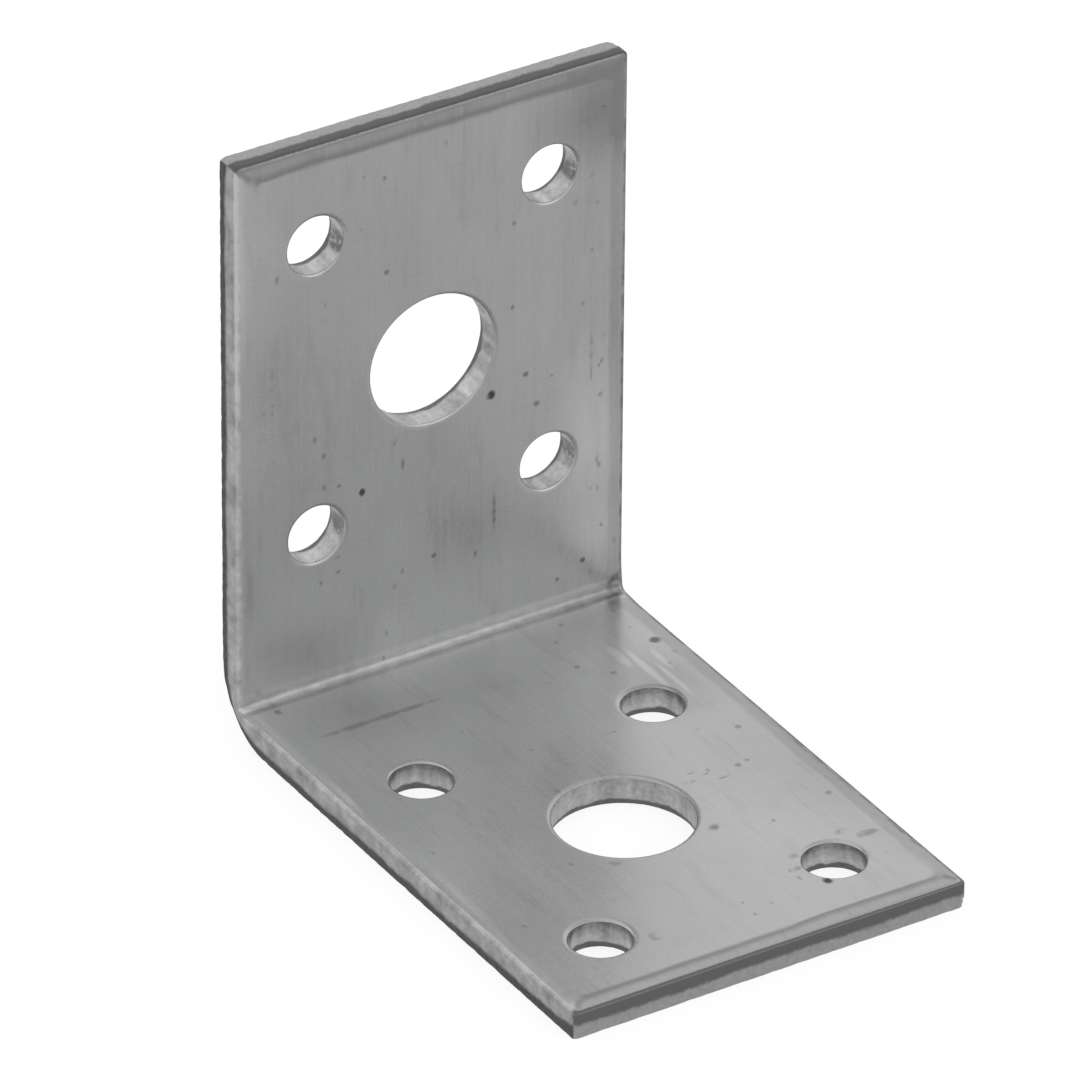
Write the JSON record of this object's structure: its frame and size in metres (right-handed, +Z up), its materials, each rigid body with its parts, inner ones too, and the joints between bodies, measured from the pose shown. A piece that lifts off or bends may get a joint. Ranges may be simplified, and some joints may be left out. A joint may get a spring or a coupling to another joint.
{
  "type": "angle bracket",
  "caption": "Sheet steel folded to a right angle, with a large bolt hole and four screw holes in each leg, for joining timbers at a corner.",
  "frame": {"origin": "middle of the rectangle that the part stands on, at the underside of the base leg", "axes": "+X across the width, +Y from the base leg's free end to the back of the upright leg, +Z up along the upright leg"},
  "size_m": [0.0346, 0.0506, 0.05],
  "materials": {
    "zinc_steel": "bright zinc coat over rolled sheet, semi-gloss, with fine rolling lines"
  },
  "bodies": {
    "root": {"angle_bracket": "zinc_steel"}
  },
  "joints": []
}
